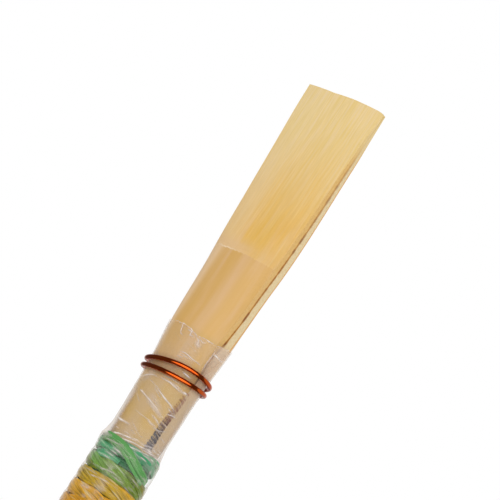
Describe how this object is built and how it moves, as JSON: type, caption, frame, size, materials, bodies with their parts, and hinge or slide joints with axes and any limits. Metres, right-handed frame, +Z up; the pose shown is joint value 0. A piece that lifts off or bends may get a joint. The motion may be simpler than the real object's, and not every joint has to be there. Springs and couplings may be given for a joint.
{
  "type": "oboe reed",
  "caption": "Double reed of two tied cane blades on a corked metal tube, with a thread binding, a clear film wrap and a copper wire, played at the upper end.",
  "frame": {"origin": "middle of the tube's foot, where the reed stands", "axes": "+Z up the reed to its tip, X across the blades, -Y out of the front blade"},
  "size_m": [0.007, 0.007, 0.0716],
  "materials": {
    "brass": "drawn and polished",
    "cork": "sanded natural cork",
    "cane": "smooth bark below, scraped fibre towards the tip",
    "thread_inner": "waxed floss thread",
    "thread_outer": "glossy floss thread dyed from green to gold",
    "film": "clear, glossy and creased",
    "copper": "copper with a clear glossy enamel"
  },
  "bodies": {
    "root": {"staple_tube": "brass", "cork_sleeve": "cork", "blade_front": "cane", "blade_back": "cane", "binding_underlay": "thread_inner", "binding_thread": "thread_outer", "clear_film": "film", "copper_wire": "copper"}
  },
  "joints": []
}
